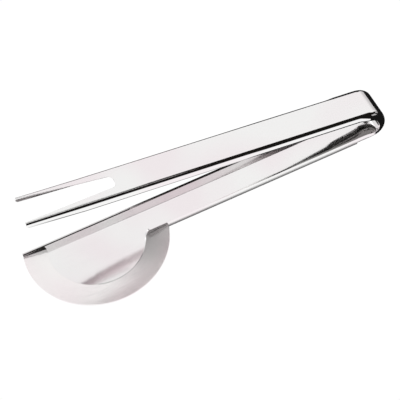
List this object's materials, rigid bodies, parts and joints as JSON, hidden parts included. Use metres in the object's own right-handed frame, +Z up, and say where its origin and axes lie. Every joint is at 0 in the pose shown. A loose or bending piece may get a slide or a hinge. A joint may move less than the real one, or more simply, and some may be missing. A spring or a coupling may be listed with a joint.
{
  "type": "serving tongs",
  "caption": "Sprung steel serving tongs: a forked arm above and a half-disc plate arm below, joined by a U-shaped spring bow that is squeezed to close them.",
  "frame": {"origin": "on the flat underside of the lower arm, straight below the spring bow's axis and midway across the arm", "axes": "+X along the lower arm from the plate towards the spring bow, +Y towards the plate's straight side, +Z up towards the fork arm"},
  "size_m": [0.2192, 0.0509, 0.0583],
  "materials": {
    "polished_steel": "mirror-polished stainless steel with fine polishing marks",
    "plate_steel": "polished stainless steel, satin on the climbing rim"
  },
  "bodies": {
    "plate_side": {"plate_arm": "polished_steel", "serving_plate": "plate_steel", "spring_bow": "polished_steel"},
    "fork_side": {"fork_arm": "polished_steel"}
  },
  "joints": [
    {"name": "squeeze", "type": "hinge", "parent": "plate_side", "child": "fork_side", "pos_m": [0, 0, 0.012], "axis": [0, -1, 0], "range_deg": [0, 13.8], "stiffness_Nm_per_rad": 4, "deforming": ["spring_bow"]}
  ]
}
